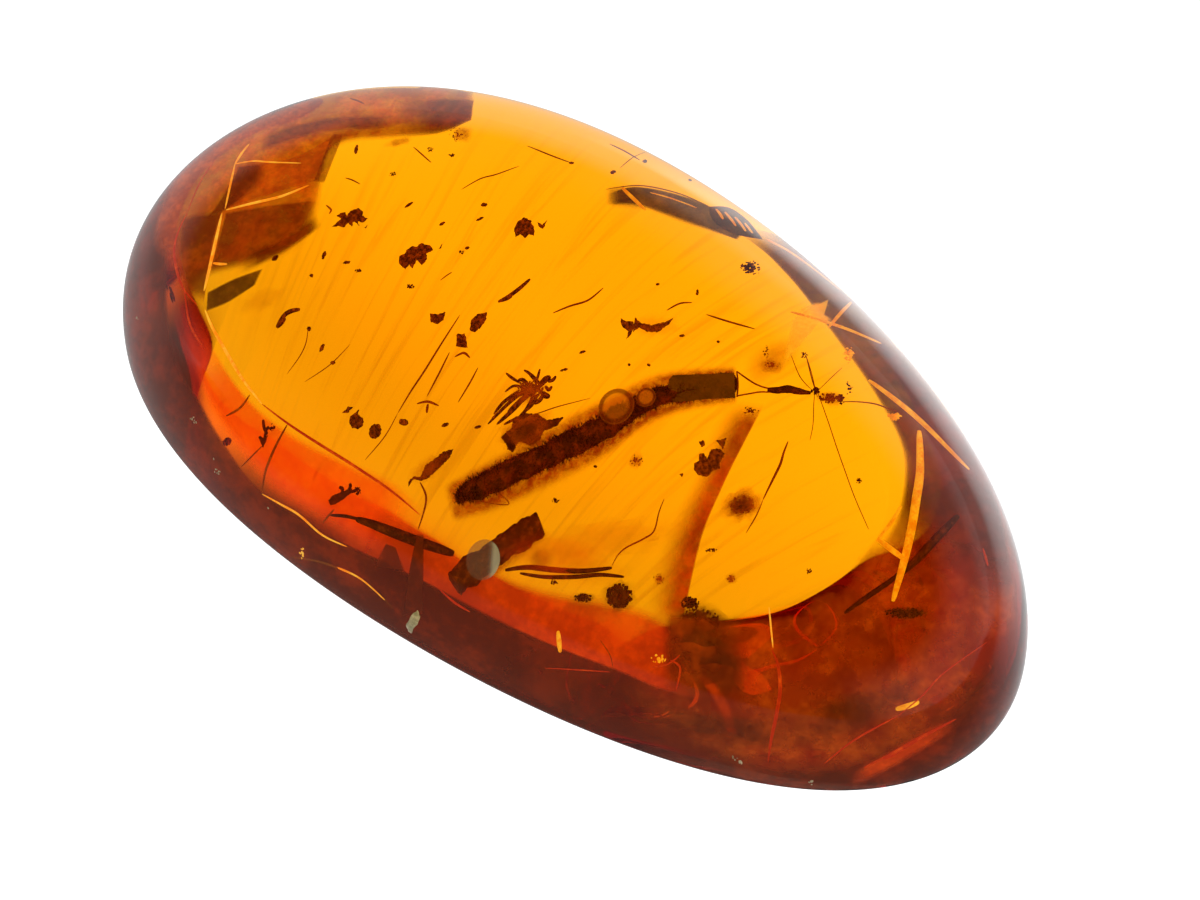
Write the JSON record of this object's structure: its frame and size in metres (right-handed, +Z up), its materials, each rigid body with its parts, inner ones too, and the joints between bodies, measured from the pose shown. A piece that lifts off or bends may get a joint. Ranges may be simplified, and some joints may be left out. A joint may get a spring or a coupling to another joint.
{
  "type": "polished amber pebble with a sealed insect",
  "caption": "Oval polished amber pebble on a flat base, clear golden to red brown, with a slender insect, leaf scales, twigs and needles sealed inside it.",
  "frame": {"origin": "the middle of the flat polished base, at the centre of the stone's length and width", "axes": "+X along the stone's length towards its narrow end, +Z up through the dome"},
  "size_m": [0.048, 0.0268, 0.016],
  "materials": {
    "amber": "clear polished golden amber that turns red brown where it is deep",
    "insect_cuticle": "dull dark brown, fuzzy",
    "plant_debris": "dull brown with ragged edges",
    "needle_gold": "dry straw with a soft shine",
    "crack_face": "dull rusty brown where the resin has split"
  },
  "bodies": {
    "root": {"amber_lower": "amber", "amber_upper": "amber", "bark_crumb": "plant_debris", "bark_sliver": "plant_debris", "bell_scale": "plant_debris", "brown_blot": "plant_debris", "bud_scale": "plant_debris", "crack_pane_broad": "crack_face", "crack_pane_left": "crack_face", "crack_pane_low": "crack_face", "crack_pane_right": "crack_face", "crack_pane_top": "crack_face", "crack_pane_upper": "crack_face", "curled_scale": "plant_debris", "curled_sliver": "plant_debris", "dark_bar": "plant_debris", "dark_clot": "plant_debris", "insect": "insect_cuticle", "leaf_scale_a": "plant_debris", "leaf_scale_b": "plant_debris", "leaf_scale_c": "plant_debris", "leaf_scale_d": "plant_debris", "long_needle": "needle_gold", "pear_seed": "plant_debris", "round_seed": "plant_debris", "round_spot": "plant_debris", "slim_chip": "plant_debris", "small_bug_a": "plant_debris", "small_bug_b": "plant_debris", "small_clot": "plant_debris", "square_scale": "plant_debris", "star_tuft": "plant_debris", "straw": "needle_gold", "thin_blade": "plant_debris", "twig_stub": "plant_debris", "wedge_scale": "plant_debris", "wing_scale": "plant_debris"}
  },
  "joints": []
}
